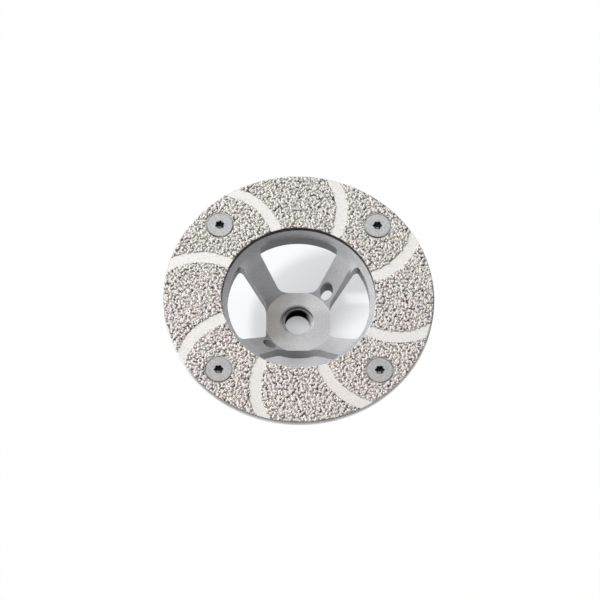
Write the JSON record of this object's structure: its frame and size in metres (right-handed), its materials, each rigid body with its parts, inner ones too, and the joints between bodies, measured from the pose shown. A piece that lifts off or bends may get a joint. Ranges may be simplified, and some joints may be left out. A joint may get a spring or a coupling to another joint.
{
  "type": "grinding cup wheel",
  "caption": "Dished cup wheel with spokes, threaded hub and a flat ring face of coarse brazed diamond grit in curved fields, held by countersunk screws.",
  "frame": {"origin": "centre of the boss's back face, on the spindle axis, which is the lowest point when the wheel stands on its boss", "axes": "+Z along the spindle axis towards the grinding face, +X to the picture's right and +Y away from the viewer, each through a window"},
  "size_m": [0.125, 0.125, 0.0373],
  "materials": {
    "hub_aluminium": "fine turned and milled, satin",
    "plate_steel": "pale nickel-brazed steel, satin",
    "screw_steel": "zinc-plated, faint turning marks",
    "diamond_grit": "coarse diamond grains in pale nickel braze"
  },
  "bodies": {
    "root": {"hub": "hub_aluminium", "ring_plate": "plate_steel", "plate_screws": "screw_steel", "grit_field_1": "diamond_grit", "grit_field_2": "diamond_grit", "grit_field_3": "diamond_grit", "grit_field_4": "diamond_grit", "grit_field_5": "diamond_grit", "grit_field_6": "diamond_grit", "grit_field_7": "diamond_grit", "grit_field_8": "diamond_grit"}
  },
  "joints": []
}
